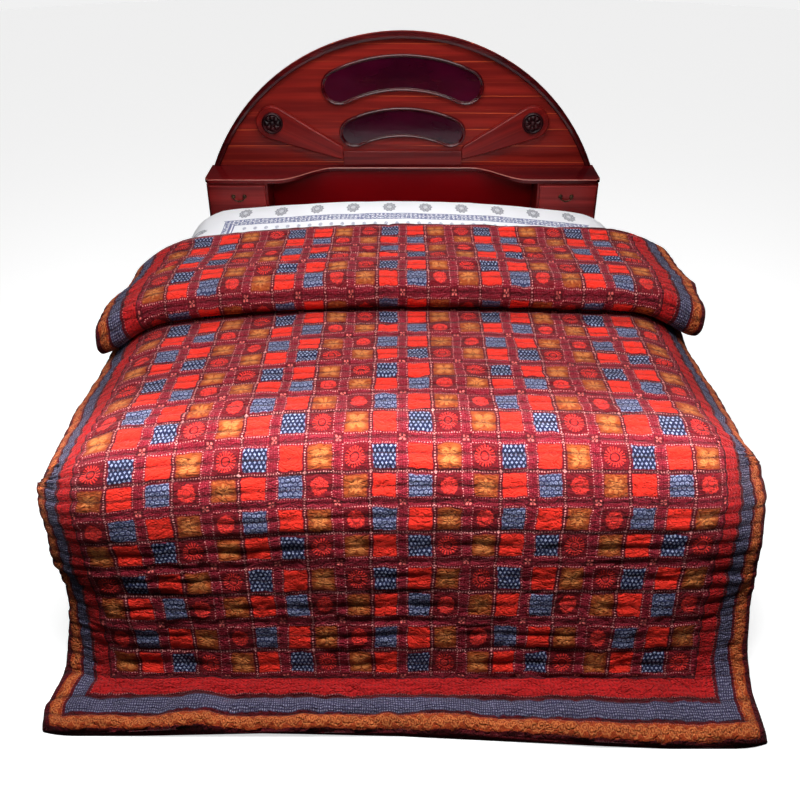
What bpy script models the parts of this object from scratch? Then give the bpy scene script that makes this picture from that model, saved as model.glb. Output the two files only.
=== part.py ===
"""A printed, hand-quilted comforter on its bed.

The comforter is one filled, channel-quilted cloth. It lies over the mattress, falls over the foot to the
floor, is laid once back and forth near the head, and has its head border turned under. The bed is plain:
base, mattress, and an arched headboard with a shelf, two side cabinets and carved trim.

Metres, +Z up, +Y from the foot of the bed to its head. The origin is on the floor at the middle of the
footprint. While it is modelled, the foot end of the bed is at y = 0.
"""

from math import atan2, cos, hypot, pi, radians, sin, sqrt, tan

import bmesh
import bpy
import numpy as np
from mathutils import Matrix, Vector

GAP = 0.0003

# The print is a grid of square blocks inside a border one block wide
BLOCK = 0.185
COLUMNS = 10
ROWS = 14
BORDER = BLOCK
HALF_WIDTH = COLUMNS / 2 * BLOCK + BORDER
LENGTH = ROWS * BLOCK + 2 * BORDER

# The filling: channels run across the width, four to a block
CHANNEL = BLOCK / 4
TOP_STITCH = 0.008
TOP_PUFF = 0.019
UNDERSIDE = 0.017
EDGE_ROUNDING = 0.05
EDGE_SHARE = 0.35

# Heights of the middle of the cloth
LAID = 0.744
MIDDLE_LAYER = 0.792
UPPER_LAYER = 0.874
CREST = 0.876
DIP = 0.852
HEAD_LAYER = 0.874
ON_FLOOR = 0.020

# Places along the bed where the middle of the cloth turns
HEM_Y = -0.510
FLOOR_BEND_Y = -0.333
SHOULDER_Y = -0.032
SHOULDER_RADIUS = 0.278
FLOOR_BEND_RADIUS = 0.09
CREASE_Y = 0.946
FRONT_Y = 0.718
CREST_Y = 0.877
DIP_Y = 1.104
HEAD_Y = 1.312
ROLL_RADIUS = 0.16

# How the sides hang past the mattress
SIDE_BEND_START = 4.25 * BLOCK
SIDE_BEND_END = 5.37 * BLOCK
CROWN = 0.020
BOW_LEFT = 0.105
BOW_RIGHT = 0.013
HEM_SWEEP = 0.043
# Side slope in degrees, and width against the flat width, at so many blocks from the hem
SIDE_SLOPE = ((0, 0), (0.5, 0), (1, 3), (1.5, 11), (2.1, 18), (3.2, 22), (4.2, 34), (5, 38), (6, 34), (7, 33),
              (8, 36), (9, 38), (12, 26), (13, 19), (14, 21), (15, 24), (16, 24))
LEFT_TUCK = ((0, 0), (0.5, 0), (1, 12), (2.2, 19), (3.5, 14), (4.5, 6), (6, 0), (8, -3), (11, 0), (12, 7),
             (13, 15), (14, 19), (16, 17))
SIDE_WIDTH = ((0, 0.956), (1, 0.953), (2, 0.975), (3, 1.007), (4, 1.036), (5, 1.016), (6, 0.989))
# Folds that stand up along the hem: place across, half width and height
HEM_FOLDS = ((-0.64, 0.07, 0.022), (-0.30, 0.10, 0.009), (0.14, 0.08, 0.008), (0.52, 0.10, 0.010))

# Bed
MATTRESS_HALF_WIDTH = 0.930
MATTRESS_FOOT = 0.085
MATTRESS_HEAD = 1.975
MATTRESS_TOP = LAID - UNDERSIDE - 0.0012
MATTRESS_EDGE = 0.14
MATTRESS_FOOT_EDGE = 0.09
MATTRESS_CORNER = 0.20
HEAD_RISE = 0.030
HEAD_RISE_START = 1.34
HEAD_RISE_LENGTH = 0.40
BASE_HEIGHT = 0.45
BASE_HALF_WIDTH = 0.90
BASE_FOOT = 0.10
BASE_HEAD = 2.000 - GAP

# Headboard
PANEL_FRONT = 2.220
PANEL_BACK = 2.256
ARCH_TOP = 1.445
ARCH_RADIUS = 1.0235
SHELF_TOP = 0.8186
SHELF_THICKNESS = 0.022
SHELF_HALF_WIDTH = 0.953
SHELF_FRONT = 1.993
SHELF_RECESS = 2.178
RECESS_HALF_WIDTH = 0.341
RECESS_END = 0.605
CABINET_FRONT = 2.000
CABINET_INNER = 0.653
RIM_WIDTH = 0.030
RIM_DEPTH = 0.022
WING_DEPTH = 0.020
ROSETTE = Vector((0.635, 1.030))

MAHOGANY = (0.155, 0.014, 0.010)
DARK_WOOD = (0.060, 0.008, 0.010)
GLOSS_INSET = (0.020, 0.001, 0.009)
RED_PANEL = (0.130, 0.004, 0.006)


def material(name, colour, roughness, metallic=0.0):
    made = bpy.data.materials.new(name)
    made.use_nodes = True
    shader = made.node_tree.nodes["Principled BSDF"]
    shader.inputs["Base Color"].default_value = (*colour, 1)
    shader.inputs["Roughness"].default_value = roughness
    shader.inputs["Metallic"].default_value = metallic
    return made


def add_object(name, bm, colour, roughness, metallic=0.0, smooth=40):
    bmesh.ops.recalc_face_normals(bm, faces=bm.faces)
    mesh = bpy.data.meshes.new(name)
    bm.to_mesh(mesh)
    bm.free()
    mesh.shade_smooth()
    mesh.set_sharp_from_angle(angle=radians(smooth))
    mesh.materials.append(material(name, colour, roughness, metallic))
    made = bpy.data.objects.new(name, mesh)
    bpy.context.scene.collection.objects.link(made)
    return made


def smoothstep(value):
    value = np.clip(value, 0.0, 1.0)
    return value * value * (3 - 2 * value)


def rounded_path(corners):
    """Points along a line of (y, z, radius) corners, each corner an arc."""
    points = [Vector(corners[0][:2])]
    for before, corner, after in zip(corners, corners[1:], corners[2:]):
        at = Vector(corner[:2])
        back = (Vector(before[:2]) - at).normalized()
        ahead = (Vector(after[:2]) - at).normalized()
        half = back.angle(ahead) / 2
        centre = at + (back + ahead).normalized() * corner[2] / sin(half)
        start = at + back * corner[2] / tan(half) - centre
        turn = (pi - 2 * half) * (1 if start.x * ahead.y - start.y * ahead.x > 0 else -1)
        for step in range(17):
            points.append(centre + Matrix.Rotation(turn * step / 16, 2) @ start)
    points.append(Vector(corners[-1][:2]))
    return np.array(points)


def comforter_path():
    crease = (MIDDLE_LAYER - LAID) / 2 - 0.0001
    front = (UPPER_LAYER - MIDDLE_LAYER) / 2 - 0.0001
    head = (HEAD_LAYER - LAID) / 2.16
    return rounded_path([
        (HEM_Y, ON_FLOOR),
        (FLOOR_BEND_Y, ON_FLOOR, FLOOR_BEND_RADIUS),
        (SHOULDER_Y, LAID, SHOULDER_RADIUS),
        (CREASE_Y, LAID, crease),
        (CREASE_Y, MIDDLE_LAYER, crease),
        (FRONT_Y, MIDDLE_LAYER, front),
        (FRONT_Y, UPPER_LAYER, front),
        (CREST_Y, CREST, ROLL_RADIUS),
        (DIP_Y, DIP, ROLL_RADIUS),
        (HEAD_Y, HEAD_LAYER, head),
        (HEAD_Y, LAID, head),
        (HEAD_Y - 0.30, LAID),
    ])


PATH = comforter_path()
PATH_LENGTH = np.concatenate([[0], np.cumsum(np.hypot(*np.diff(PATH, axis=0).T))])


def along(t):
    """Place (y, z) of the middle of the cloth, t metres from the hem."""
    return np.interp(t, PATH_LENGTH, PATH[:, 0]), np.interp(t, PATH_LENGTH, PATH[:, 1])


def by_block(t, table):
    blocks, values = zip(*table)
    return np.interp(t / BLOCK, blocks, values)


def side_curve(u, slope):
    """Half section across the bed: sideways distance, drop and slope angle at u metres from the middle."""
    part = np.clip((u - SIDE_BEND_START) / (SIDE_BEND_END - SIDE_BEND_START), 0, 1)
    bend = SIDE_BEND_END - SIDE_BEND_START
    past = max(u - SIDE_BEND_END, 0)
    angles = smoothstep((np.arange(8) + 0.5) / 8 * part) * slope
    sideways = np.cos(angles).mean() * part * bend
    drop = np.sin(angles).mean() * part * bend
    angle = smoothstep(part) * slope
    sideways += min(u, SIDE_BEND_START) + past * cos(slope)
    drop += past * sin(slope)
    return sideways, drop, angle


def hem_fold(s):
    return sum(height * np.exp(-((s - place) / half) ** 2) for place, half, height in HEM_FOLDS)


def cloth_point(s, t):
    """Middle of the cloth, s metres to the right of its centre line and t metres from its hem."""
    y, z = along(t)
    step = 0.004
    y_back, z_back = along(t - step)
    y_ahead, z_ahead = along(t + step)
    side = 1 if s >= 0 else -1
    slope = radians(by_block(t, SIDE_SLOPE) + (by_block(t, LEFT_TUCK) if side < 0 else 0))
    distance = abs(s)
    on_bed = t >= 6 * BLOCK
    height = z - LAID if on_bed else 0.0
    u = distance
    for _ in range(6):
        sideways, drop, angle = side_curve(u, slope)
        u = distance - height * angle
    sideways = sideways * by_block(t, SIDE_WIDTH) + height * sin(angle)
    if on_bed:
        down = (0.0, -1.0)
        z = LAID + height * cos(angle)
    else:
        tangent = atan2(z_ahead - z_back, y_ahead - y_back)
        down = (sin(tangent), -cos(tangent))
    share = min(distance / (COLUMNS / 2 * BLOCK), 1.1) ** 2
    top_share = float(smoothstep((t / BLOCK - 1.0) / 4.0))
    drop += CROWN * share * top_share
    y += down[0] * drop
    z += down[1] * drop
    y -= share * top_share * (BOW_LEFT if side < 0 else BOW_RIGHT)
    y -= HEM_SWEEP * max(1 - t / BLOCK, 0) * float(smoothstep((s + 0.1) / 0.9))
    z = max(z, ON_FLOOR) + hem_fold(s) * float(smoothstep(1 - t / (1.4 * BLOCK)))
    return np.array((side * sideways, y, z))


def cloth_normal(s, t):
    step = 0.003
    across = cloth_point(s + step, t) - cloth_point(s - step, t)
    ahead = cloth_point(s, t + step) - cloth_point(s, t - step)
    normal = np.cross(across, ahead)
    return normal / np.linalg.norm(normal)


def edge_share(s, t):
    """Share of the full thickness, drawn in round the four edges."""
    inside = min(HALF_WIDTH - abs(s), t, LENGTH - t)
    return EDGE_SHARE + (1 - EDGE_SHARE) * sqrt(1 - (1 - min(inside / EDGE_ROUNDING, 1)) ** 2)


def row_places():
    """Distances from the hem: each stitched line and each puff, with more rows round the tight turns."""
    halves = np.arange(0, LENGTH + CHANNEL / 4, CHANNEL / 2)
    places = list(halves)
    for start, end in zip(halves, halves[1:]):
        y, z = along(np.array((start, end)))
        if hypot(y[1] - y[0], z[1] - z[0]) < 0.92 * (end - start):
            places.append((start + end) / 2)
    places += [0.008, LENGTH - 0.008]
    return sorted(places)


def comforter():
    outer = [4.35, 4.75, 5.1, 5.5, 5.85, 5.96, 6.0]
    inner = [-3.9, -3.46, -2.9, -1.6, 0.0, 1.6, 3.2]
    columns = [a * BLOCK for a in [-a for a in reversed(outer)] + inner + outer]
    rows = row_places()
    bm = bmesh.new()
    top, under = [], []
    for t in rows:
        puff = abs(sin(pi * t / CHANNEL))
        top_row, under_row = [], []
        for s in columns:
            middle = cloth_point(s, t)
            normal = cloth_normal(s, t)
            share = edge_share(s, t)
            above = middle + normal * (TOP_STITCH + (TOP_PUFF - TOP_STITCH) * puff) * share
            below = middle - normal * UNDERSIDE * share
            settled = float(smoothstep((1.1 - t / BLOCK) / 0.3))
            if settled:
                below[2] = max(below[2] - 0.015 * settled, 0.0)
                above[2] -= 0.016 * settled * (1 - share)
            top_row.append(bm.verts.new(above))
            under_row.append(bm.verts.new(below))
        top.append(top_row)
        under.append(under_row)
    last = len(columns) - 1
    for j in range(len(rows) - 1):
        for i in range(last):
            bm.faces.new((top[j][i], top[j][i + 1], top[j + 1][i + 1], top[j + 1][i]))
            bm.faces.new((under[j][i], under[j + 1][i], under[j + 1][i + 1], under[j][i + 1]))
        bm.faces.new((top[j][0], top[j + 1][0], under[j + 1][0], under[j][0]))
        bm.faces.new((top[j][last], under[j][last], under[j + 1][last], top[j + 1][last]))
    for i in range(last):
        bm.faces.new((top[0][i], under[0][i], under[0][i + 1], top[0][i + 1]))
        bm.faces.new((top[-1][i], top[-1][i + 1], under[-1][i + 1], under[-1][i]))
    return add_object("comforter", bm, (0.42, 0.02, 0.02), 0.75, smooth=60)


def loft(bm, rings):
    """Closed solid through rings of points, with a flat cap at each end."""
    made = [[bm.verts.new(point) for point in ring] for ring in rings]
    count = len(made[0])
    for ring, after in zip(made, made[1:]):
        for i in range(count):
            j = (i + 1) % count
            bm.faces.new((ring[i], ring[j], after[j], after[i]))
    bm.faces.new(made[0])
    bm.faces.new(list(reversed(made[-1])))


def mattress():
    """Lofted from foot to head, with a crowned top, rounded long edges and rounded corners in plan."""
    bottom = BASE_HEIGHT + GAP
    depth = MATTRESS_TOP - bottom
    rings = []
    ends = [(1 - cos(a)) for a in np.linspace(0.0, pi / 2, 7)]
    places = [MATTRESS_FOOT + MATTRESS_FOOT_EDGE * a for a in ends]
    places += [0.5, 1.0, 1.34, 1.44, 1.54, 1.64]
    places += [MATTRESS_HEAD - MATTRESS_CORNER * a for a in reversed(ends)]
    for y in places:
        foot = max(1 - (y - MATTRESS_FOOT) / MATTRESS_FOOT_EDGE, 0)
        head = max(1 - (MATTRESS_HEAD - y) / MATTRESS_CORNER, 0)
        drawn = MATTRESS_FOOT_EDGE * (1 - sqrt(1 - foot ** 2))
        side = drawn + MATTRESS_CORNER * (1 - sqrt(1 - head ** 2)) * 0.8
        lower = drawn + MATTRESS_EDGE * (1 - sqrt(1 - head ** 2)) * 0.7
        half_width = MATTRESS_HALF_WIDTH - side
        ring = [(-half_width + 0.02, bottom), (half_width - 0.02, bottom), (half_width, bottom + 0.02)]
        for corner in np.linspace(0, pi / 2, 6):
            x = half_width - MATTRESS_EDGE * (1 - cos(corner))
            ring.append((x, depth + bottom - lower - MATTRESS_EDGE * (1 - sin(corner))))
        for share in (0.8, 0.6, 0.4, 0.2, 0.0):
            ring.append(((half_width - MATTRESS_EDGE) * share, bottom + depth - lower))
        ring += [(-x, z) for x, z in reversed(ring[2:-1])]
        rise = HEAD_RISE * float(smoothstep((y - HEAD_RISE_START) / HEAD_RISE_LENGTH))
        rings.append([(x, y, z + (rise - crown_at(x)) * (z > bottom + 0.1)) for x, z in ring])
    bm = bmesh.new()
    loft(bm, rings)
    return add_object("mattress", bm, (0.80, 0.80, 0.82), 0.85)


def crown_at(x):
    return CROWN * min(abs(x) / (COLUMNS / 2 * BLOCK), 1.1) ** 2


def box(bm, low, high):
    size = Vector(high) - Vector(low)
    place = Matrix.Translation((Vector(high) + Vector(low)) / 2) @ Matrix.Diagonal((*size, 1))
    return bmesh.ops.create_cube(bm, size=1, matrix=place)["verts"]


def bevelled_box(name, low, high, width, colour, roughness):
    bm = bmesh.new()
    box(bm, low, high)
    bmesh.ops.bevel(bm, geom=bm.edges[:], offset=width, segments=2, profile=0.5, affect="EDGES")
    return add_object(name, bm, colour, roughness)


def plate(name, outline, front, depth, colour, roughness, bevel=0.003):
    """A board standing upright: its outline in x and z, its front face at y = front."""
    bm = bmesh.new()
    face = bm.faces.new([bm.verts.new((x, front, z)) for x, z in outline])
    swept = bmesh.ops.extrude_face_region(bm, geom=[face])
    moved = [item for item in swept["geom"] if isinstance(item, bmesh.types.BMVert)]
    bmesh.ops.translate(bm, verts=moved, vec=(0, depth, 0))
    bmesh.ops.recalc_face_normals(bm, faces=bm.faces)
    if bevel:
        edges = [e for e in bm.edges if all(abs(v.co.y - front) < 1e-6 for v in e.verts)]
        bmesh.ops.bevel(bm, geom=edges, offset=bevel, segments=2, profile=0.5, affect="EDGES")
    return add_object(name, bm, colour, roughness)


def arch_points(radius, lowest, count):
    """Points of the arch from right to left, down to the height lowest."""
    centre = ARCH_TOP - ARCH_RADIUS
    end = pi / 2 - atan2(lowest - centre, sqrt(radius ** 2 - (lowest - centre) ** 2))
    return [(radius * sin(a), centre + radius * cos(a)) for a in np.linspace(end, -end, count)]


def headboard_panel():
    arch = arch_points(ARCH_RADIUS, SHELF_TOP, 49)
    outline = [(arch[-1][0], 0.0), (arch[0][0], 0.0)] + arch
    return plate("headboard_panel", outline, PANEL_FRONT, PANEL_BACK - PANEL_FRONT, MAHOGANY, 0.3, bevel=0)


def sweep(bm, path, profile):
    """Profile of (out, forward) offsets carried along an open path of (x, z), out being to its left."""
    rings = []
    for i, (x, z) in enumerate(path):
        before = path[max(i - 1, 0)]
        after = path[min(i + 1, len(path) - 1)]
        tangent = Vector((after[0] - before[0], after[1] - before[1])).normalized()
        out = Vector((-tangent.y, tangent.x))
        rings.append([(x + out.x * a, PANEL_FRONT - GAP - b, z + out.y * a) for a, b in profile])
    loft(bm, rings)


def half_round(width, depth, steps=5):
    """Moulding section: flat at the back, rounded at the front."""
    section = [(-width / 2, 0.0)]
    for angle in np.linspace(pi, 0, steps):
        section.append((width / 2 * cos(angle), depth * (0.45 + 0.55 * sin(angle))))
    section.append((width / 2, 0.0))
    return section


def headboard_rim():
    path = arch_points(ARCH_RADIUS - RIM_WIDTH / 2, SHELF_TOP + GAP, 45)
    foot = (path[0][0] + 0.0008, SHELF_TOP + GAP)
    bm = bmesh.new()
    sweep(bm, path, half_round(RIM_WIDTH, RIM_DEPTH))
    for vert in bm.verts:
        vert.co.z = max(vert.co.z, foot[1])
    return add_object("headboard_rim", bm, DARK_WOOD, 0.25)


def kidney(middle, sagitta, reach, half_thickness, count=15):
    """Outline of a bent band with round ends; middle is the height of its centre line at x = 0."""
    radius = (reach ** 2 + sagitta ** 2) / (2 * sagitta)
    centre = middle - radius
    end = atan2(reach, radius - sagitta)
    outer = [((radius + half_thickness) * sin(a), centre + (radius + half_thickness) * cos(a))
             for a in np.linspace(-end, end, count)]
    inner = [((radius - half_thickness) * sin(a), centre + (radius - half_thickness) * cos(a))
             for a in np.linspace(end, -end, count)]
    ends = []
    for side in (1, -1):
        x, z = side * radius * sin(end), centre + radius * cos(end)
        start = pi / 2 - end if side > 0 else -pi / 2 + end
        turn = [start - pi * k / 8 for k in range(1, 8)]
        ends.append([(x + half_thickness * cos(a), z + half_thickness * sin(a)) for a in turn])
    return outer + ends[0] + inner + ends[1]


def ring_plate(name, outer, inner, front, depth):
    """A flat frame between two outlines with the same number of points."""
    bm = bmesh.new()
    levels = []
    for outline, y in ((outer, front + depth), (outer, front + 0.004), (None, front), (inner, front + depth)):
        if outline is None:
            outline = [((a + c) / 2, (b + d) / 2) for (a, b), (c, d) in zip(outer, inner)]
        levels.append([bm.verts.new((x, y, z)) for x, z in outline])
    count = len(outer)
    for k in range(4):
        ring, after = levels[k], levels[(k + 1) % 4]
        for i in range(count):
            j = (i + 1) % count
            bm.faces.new((ring[i], ring[j], after[j], after[i]))
    return add_object(name, bm, DARK_WOOD, 0.25)


def inset(name, middle, sagitta, reach, half_thickness):
    """One bent glossy panel and the moulded frame round it."""
    frame = 0.017
    front = PANEL_FRONT - GAP
    outer = kidney(middle, sagitta, reach, half_thickness + frame)
    inner = kidney(middle, sagitta, reach, half_thickness)
    panel = kidney(middle, sagitta, reach, half_thickness - GAP)
    ring_plate(name + "_frame", outer, inner, front - 0.014, 0.014)
    plate(name + "_panel", panel, front - 0.005, 0.005, GLOSS_INSET, 0.08, bevel=0)


def wing(name, side):
    """Petal-shaped raised panel, round at the rosette and square at its inner end."""
    radius = 0.080
    start, end = radians(128), radians(-72)
    outline = [(ROSETTE.x + radius * cos(a), ROSETTE.y + radius * sin(a))
               for a in np.linspace(start, end, 15)]
    outline += [(0.440, 0.888), (0.302, 0.850), (0.294, 0.857), (0.294, 0.908), (0.301, 0.917),
                (0.440, 1.002)]
    outline = [(side * x, z) for x, z in outline]
    return plate(name, outline, PANEL_FRONT - GAP - WING_DEPTH, WING_DEPTH, MAHOGANY, 0.3, bevel=0.006)


def rosette(name, side):
    """Turned boss with a raised button and rim."""
    profile = [(0.0, 0.016), (0.008, 0.015), (0.012, 0.009), (0.020, 0.008), (0.030, 0.012),
               (0.044, 0.011), (0.052, 0.005), (0.052, 0.0)]
    back = PANEL_FRONT - GAP - WING_DEPTH - GAP
    bm = bmesh.new()
    line = [bm.verts.new((side * ROSETTE.x + r, back - d, ROSETTE.y)) for r, d in profile]
    line.append(bm.verts.new((side * ROSETTE.x, back, ROSETTE.y)))
    edges = [bm.edges.new(pair) for pair in zip(line, line[1:])]
    bmesh.ops.spin(bm, geom=line + edges, cent=(side * ROSETTE.x, back, ROSETTE.y), axis=(0, 1, 0),
                   angle=2 * pi, steps=20, use_merge=True)
    bmesh.ops.remove_doubles(bm, verts=bm.verts, dist=1e-6)
    return add_object(name, bm, DARK_WOOD, 0.3)


def shelf_front(x):
    return SHELF_FRONT + (SHELF_RECESS - SHELF_FRONT) * float(
        smoothstep((RECESS_END - abs(x)) / (RECESS_END - RECESS_HALF_WIDTH)))


def shelf():
    """Board over the cabinets whose front edge swings back between them in two S curves."""
    places = [RECESS_END + (RECESS_HALF_WIDTH - RECESS_END) * k / 10 for k in range(11)]
    half = [SHELF_HALF_WIDTH, SHELF_HALF_WIDTH - 0.02] + places
    xs = [-x for x in half] + [x for x in reversed(half)]
    fronts = [shelf_front(x) + (0.02 if abs(x) == SHELF_HALF_WIDTH else 0.0) for x in xs]
    back = PANEL_FRONT - GAP
    outline = list(zip(xs, fronts)) + [(SHELF_HALF_WIDTH, back), (-SHELF_HALF_WIDTH, back)]
    bm = bmesh.new()
    face = bm.faces.new([bm.verts.new((x, y, SHELF_TOP - SHELF_THICKNESS)) for x, y in outline])
    swept = bmesh.ops.extrude_face_region(bm, geom=[face])
    moved = [item for item in swept["geom"] if isinstance(item, bmesh.types.BMVert)]
    bmesh.ops.translate(bm, verts=moved, vec=(0, 0, SHELF_THICKNESS))
    bmesh.ops.recalc_face_normals(bm, faces=bm.faces)
    front = [e for e in bm.edges if all(v.co.y < PANEL_FRONT - 0.01 for v in e.verts)
             and abs(e.verts[0].co.z - e.verts[1].co.z) < 1e-6]
    bmesh.ops.bevel(bm, geom=front, offset=0.005, segments=2, profile=0.5, affect="EDGES")
    return add_object("shelf", bm, DARK_WOOD, 0.25)


def cabinet(name, side):
    under_shelf = SHELF_TOP - SHELF_THICKNESS - GAP
    ends = sorted((side * CABINET_INNER, side * (SHELF_HALF_WIDTH - 0.006)))
    return bevelled_box(name, (ends[0], CABINET_FRONT, 0), (ends[1], PANEL_FRONT - GAP, under_shelf), 0.002,
                        MAHOGANY, 0.3)


def drawer(name, side):
    ends = sorted((side * 0.664, side * 0.936))
    return bevelled_box(name, (ends[0], CABINET_FRONT - GAP - 0.014, 0.625),
                        (ends[1], CABINET_FRONT - GAP, 0.788), 0.003, DARK_WOOD, 0.25)


def handle(name, side):
    """Bail pull: a bent rod on two round bosses."""
    drawer_front = CABINET_FRONT - GAP - 0.014
    centre = side * 0.792
    reach, sag, rod = 0.027, 0.016, 0.0035
    height = 0.737
    path = [Vector((centre - reach, drawer_front - GAP, height))]
    for angle in np.linspace(pi, 2 * pi, 11):
        path.append(Vector((centre + reach * cos(angle), drawer_front - 0.012, height + sag * sin(angle))))
    path.append(Vector((centre + reach, drawer_front - GAP, height)))
    bm = bmesh.new()
    rings = []
    for i, point in enumerate(path):
        if i in (0, len(path) - 1):
            tangent = Vector((0, -1 if i == 0 else 1, 0))
        else:
            tangent = (path[i + 1] - path[i - 1]).normalized()
        turn = tangent.to_track_quat("Z", "Y")
        rings.append([point + turn @ Vector((rod * cos(a), rod * sin(a), 0))
                      for a in np.linspace(0, 2 * pi, 9)[:-1]])
    loft(bm, rings)
    return add_object(name, bm, (0.05, 0.03, 0.02), 0.3, 0.9)


def centre_panel():
    return bevelled_box("centre_panel", (-CABINET_INNER + GAP, PANEL_FRONT - GAP - 0.03, 0.40),
                        (CABINET_INNER - GAP, PANEL_FRONT - GAP, SHELF_TOP - SHELF_THICKNESS - GAP), 0.002,
                        RED_PANEL, 0.25)


def centre_block():
    """Raised block that stands on the shelf between the wings."""
    return bevelled_box("centre_block", (-0.2935, PANEL_FRONT - GAP - 0.014, SHELF_TOP + GAP),
                        (0.2935, PANEL_FRONT - GAP, 0.890), 0.003, MAHOGANY, 0.3)


def bed_base():
    return bevelled_box("bed_base", (-BASE_HALF_WIDTH, BASE_FOOT, 0),
                        (BASE_HALF_WIDTH, BASE_HEAD, BASE_HEIGHT), 0.004, MAHOGANY, 0.35)


def centre_on_origin():
    """Slide everything along y so that the footprint's middle is at the origin."""
    meshes = [item.data for item in bpy.data.objects if item.type == "MESH"]
    ys = [vert.co.y for mesh in meshes for vert in mesh.vertices]
    shift = -(min(ys) + max(ys)) / 2
    for mesh in meshes:
        mesh.transform(Matrix.Translation((0, shift, 0)))


def main():
    for item in list(bpy.data.objects):
        bpy.data.objects.remove(item, do_unlink=True)
    comforter()
    mattress()
    bed_base()
    headboard_panel()
    headboard_rim()
    inset("inset_upper", 1.263, 0.066, 0.305, 0.069)
    inset("inset_lower", 1.030, 0.050, 0.238, 0.056)
    shelf()
    centre_panel()
    centre_block()
    for word, side in (("left", -1), ("right", 1)):
        wing("wing_" + word, side)
        rosette("rosette_" + word, side)
        cabinet("cabinet_" + word, side)
        drawer("drawer_" + word, side)
        handle("handle_" + word, side)
    centre_on_origin()


main()
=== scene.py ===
"""Looks for the comforter on its bed: quilted block-print cotton, a printed cover and lacquered wood.

Metres, in the model's frame. The cloth's form is worked out as in the model's source: s runs across the cloth
from its centre line, t from its hem at the foot. The print is worked out in blocks from one corner.
"""
from functools import partialmethod
from math import atan2, cos, pi, radians, sin, sqrt, tan

import bmesh
import bpy
import numpy as np
from mathutils import Matrix, Vector


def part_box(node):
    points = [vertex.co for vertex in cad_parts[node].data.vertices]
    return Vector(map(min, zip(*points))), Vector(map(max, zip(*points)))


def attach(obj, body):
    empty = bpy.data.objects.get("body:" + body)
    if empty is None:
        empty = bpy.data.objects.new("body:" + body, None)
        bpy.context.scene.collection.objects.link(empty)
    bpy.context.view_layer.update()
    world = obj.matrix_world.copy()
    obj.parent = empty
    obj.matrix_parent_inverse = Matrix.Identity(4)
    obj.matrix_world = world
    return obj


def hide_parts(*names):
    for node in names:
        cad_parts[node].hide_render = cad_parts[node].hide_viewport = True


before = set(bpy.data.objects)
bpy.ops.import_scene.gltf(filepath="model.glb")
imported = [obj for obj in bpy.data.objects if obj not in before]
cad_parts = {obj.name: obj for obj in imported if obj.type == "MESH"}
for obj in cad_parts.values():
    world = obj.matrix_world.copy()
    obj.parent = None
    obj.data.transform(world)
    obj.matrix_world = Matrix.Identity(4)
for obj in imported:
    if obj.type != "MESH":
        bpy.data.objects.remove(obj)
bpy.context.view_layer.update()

# The bed is worked out with its foot end at y = 0, and slid to the model's frame
SLIDE = -0.8515

# Cloth: print, filling and the path of its middle, as in the model but for the shoulder and the fold's front
BLOCK = 0.185
COLUMNS = 10
ROWS = 14
MIDDLE_COLUMN = COLUMNS / 2 + 1
MIDDLE_ROW = ROWS / 2 + 1
HALF_WIDTH = COLUMNS / 2 * BLOCK + BLOCK
LENGTH = ROWS * BLOCK + 2 * BLOCK
CHANNEL = BLOCK / 4
TOP_STITCH = 0.004
TOP_PUFF = 0.0205
UNDERSIDE = 0.017
HEM_CHANNELS = (0, 0.28, 0.612, 1)
EDGE_ROUNDING = 0.05
EDGE_SHARE = 0.35
LAID = 0.744
MIDDLE_LAYER = 0.792
UPPER_LAYER = 0.874
CREST = 0.876
DIP = 0.852
HEAD_LAYER = 0.874
ON_FLOOR = 0.020
HEM_Y = -0.510
FLOOR_BEND_Y = -0.333
SHOULDER_Y = -0.032
SHOULDER_RADIUS = 0.19
FLOOR_BEND_RADIUS = 0.09
CREASE_Y = 0.926
FRONT_Y = 0.698
CREST_Y = 0.877
DIP_Y = 1.104
HEAD_Y = 1.312
ROLL_RADIUS = 0.16
BEND_START = 4.25 * BLOCK
BEND_END = 5.37 * BLOCK
CROWN = 0.020
BOW_LEFT = 0.105
BOW_RIGHT = 0.013
HEM_SWEEP = 0.043
SIDE_SLOPE = ((0, 0), (0.5, 0), (1, 3), (1.5, 11), (2.1, 18), (3.2, 22), (4.2, 34), (5, 38), (6, 34), (7, 33),
              (8, 36), (9, 38), (12, 26), (13, 19), (14, 21), (15, 24), (16, 24))
LEFT_TUCK = ((0, 0), (0.5, 0), (1, 12), (2.2, 19), (3.5, 14), (4.5, 6), (6, 0), (8, -3), (11, 0), (12, 7),
             (13, 15), (14, 19), (16, 17))
SIDE_WIDTH = ((0, 0.956), (1, 0.953), (2, 0.975), (3, 1.007), (4, 1.036), (5, 1.016), (6, 0.989))
HEM_FOLDS = ((-0.64, 0.07, 0.022), (-0.30, 0.10, 0.009), (0.14, 0.08, 0.008), (0.52, 0.10, 0.010))

# Quilting: depths of what lies on the printed face, and the waves of the whole cloth on the drop
FULLNESS = 0.25
CREASE_DEPTH = 0.0045
PUCKER_DEPTH = 0.0020
WRINKLE_DEPTH = 0.0024
RUMPLE_DEPTH = 0.0055
SLACK_DEPTH = 0.003
FOLD_WAVE = 0.008
CORNER_ROUND = 0.12
CORNER_DRAWN = 0.013
HEM_SUNK = 0.016
UNDER_SUNK = 0.015
RIM_BULGE = 0.0045

# Print, in blocks: its squares, dotted lines and the border's bands, counted from the field
SQUARE_CENTRE = 0.222
SQUARE_HALF = 0.188
STRIP_HALF = 0.036
SQUARE_LINE = 0.424
SASH_MIDDLE = 0.466
DOTS = 24.0
INNER_LINE = 0.035
RED_END = 0.335
BLUE_END = 0.64
ORANGE_END = 0.875
SCROLL_LINE = 0.775

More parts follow.
